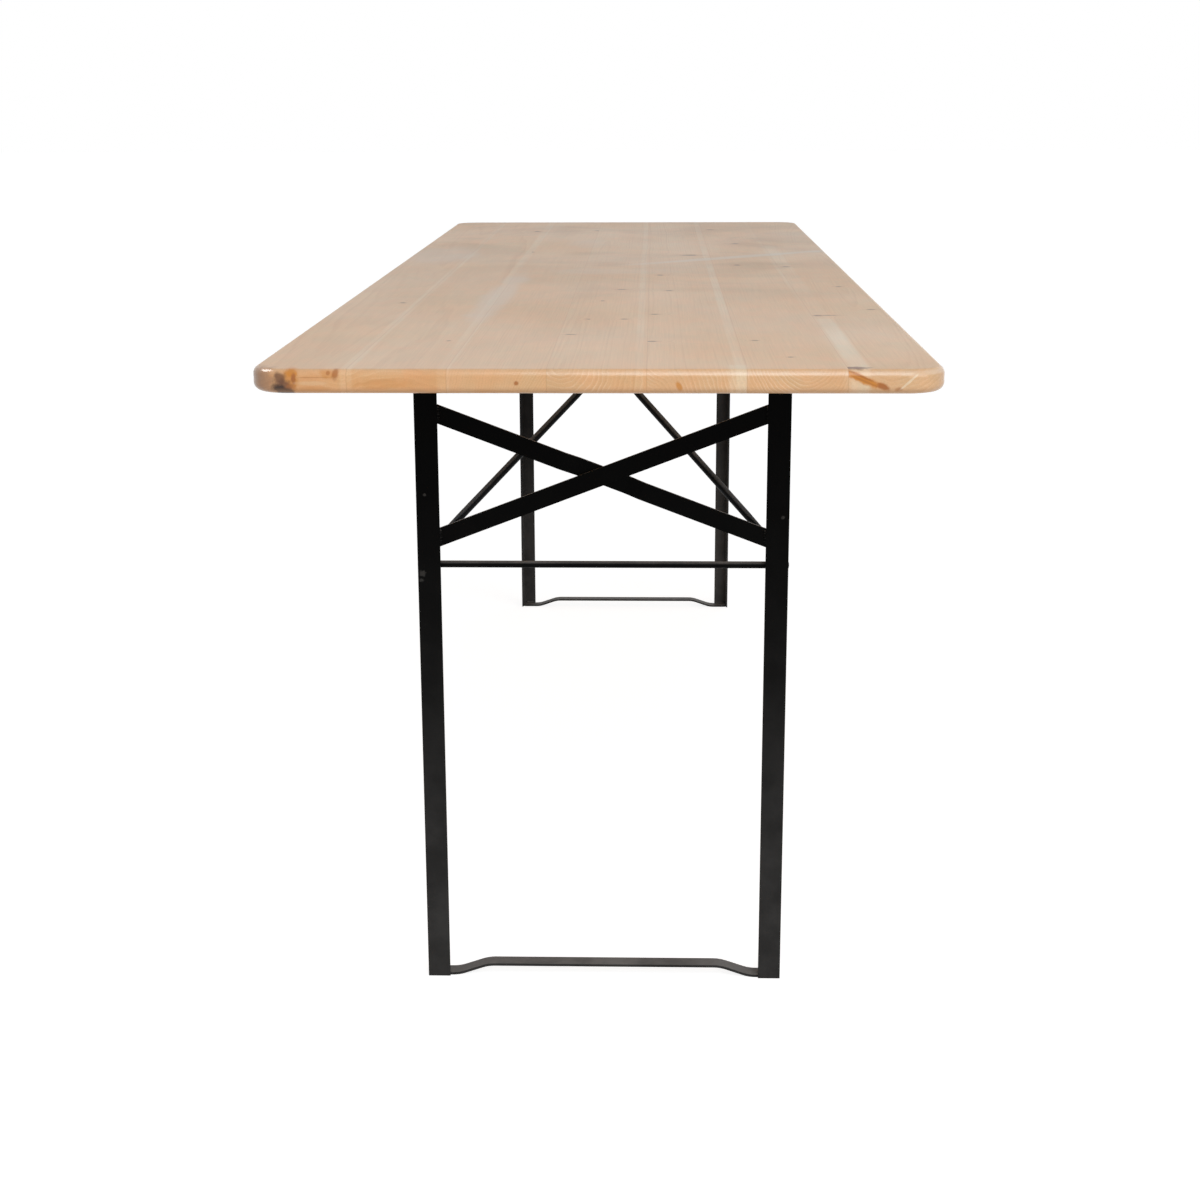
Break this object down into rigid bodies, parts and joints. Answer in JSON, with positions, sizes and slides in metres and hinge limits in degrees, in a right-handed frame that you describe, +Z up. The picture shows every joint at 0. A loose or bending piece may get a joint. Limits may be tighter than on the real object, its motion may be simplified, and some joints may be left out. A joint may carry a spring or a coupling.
{
  "type": "folding trestle table",
  "caption": "Long folding table: rounded pine board top on two hinged angle-iron leg frames with crossed bars, held open by bent-rod braces in spring catches.",
  "frame": {"origin": "on the floor below the middle of the top", "axes": "+X across the table, +Y along it from the near end to the far end, +Z up"},
  "size_m": [0.7, 2.2, 0.76],
  "materials": {
    "pine": "clear lacquer, satin gloss",
    "batten_wood": "clear lacquer",
    "black_paint": "black enamel, worn at the feet",
    "spring_steel": "zinc plated",
    "screw_steel": "zinc plated"
  },
  "bodies": {
    "table_top": {"board_1": "pine", "board_2": "pine", "board_3": "pine", "board_4": "pine", "board_5": "pine", "board_6": "pine", "board_7": "pine", "batten_near": "batten_wood", "batten_middle": "batten_wood", "batten_far": "batten_wood", "batten_screws": "screw_steel", "bracket_screws": "screw_steel", "keeper_screws": "screw_steel", "clamp_screws": "screw_steel", "hinge_bracket_near_left": "black_paint", "hinge_bracket_near_right": "black_paint", "keeper_near": "black_paint", "catch_clamp_near": "black_paint", "hinge_bracket_far_left": "black_paint", "hinge_bracket_far_right": "black_paint", "keeper_far": "black_paint", "catch_clamp_far": "black_paint"},
    "leg_frame_near": {"leg_near_left": "black_paint", "leg_near_right": "black_paint", "cross_bar_straight_near": "black_paint", "cross_bar_joggled_near": "black_paint", "foot_bar_near": "black_paint", "frame_welds_near": "black_paint", "hinge_rivets_near": "black_paint", "brace_axle_near": "black_paint"},
    "brace_near": {"brace_near": "black_paint"},
    "catch_near": {"spring_catch_near": "spring_steel"},
    "leg_frame_far": {"leg_far_left": "black_paint", "leg_far_right": "black_paint", "cross_bar_straight_far": "black_paint", "cross_bar_joggled_far": "black_paint", "foot_bar_far": "black_paint", "frame_welds_far": "black_paint", "hinge_rivets_far": "black_paint", "brace_axle_far": "black_paint"},
    "brace_far": {"brace_far": "black_paint"},
    "catch_far": {"spring_catch_far": "spring_steel"}
  },
  "joints": [
    {"name": "leg_fold_near", "type": "hinge", "parent": "table_top", "child": "leg_frame_near", "pos_m": [0, -0.868, 0.71697], "axis": [1, 0, 0], "range_deg": [0, 90]},
    {"name": "brace_fold_near", "type": "hinge", "parent": "leg_frame_near", "child": "brace_near", "pos_m": [0, -0.868, 0.505], "axis": [1, 0, 0], "range_deg": [-119.1, 0]},
    {"name": "catch_press_near", "type": "hinge", "parent": "table_top", "child": "catch_near", "pos_m": [0, -0.3891, 0.73365], "axis": [-1, 0, 0], "range_deg": [0, 4], "stiffness_Nm_per_rad": 20},
    {"name": "leg_fold_far", "type": "hinge", "parent": "table_top", "child": "leg_frame_far", "pos_m": [0, 0.868, 0.71697], "axis": [-1, 0, 0], "range_deg": [0, 90]},
    {"name": "brace_fold_far", "type": "hinge", "parent": "leg_frame_far", "child": "brace_far", "pos_m": [0, 0.868, 0.505], "axis": [-1, 0, 0], "range_deg": [-119.1, 0]},
    {"name": "catch_press_far", "type": "hinge", "parent": "table_top", "child": "catch_far", "pos_m": [0, 0.3891, 0.73365], "axis": [1, 0, 0], "range_deg": [0, 4], "stiffness_Nm_per_rad": 20}
  ],
  "couplings": [
    {"joint": "brace_fold_near", "follows": "leg_fold_near", "ratio": -1.3224},
    {"joint": "brace_fold_far", "follows": "leg_fold_far", "ratio": -1.3224}
  ]
}
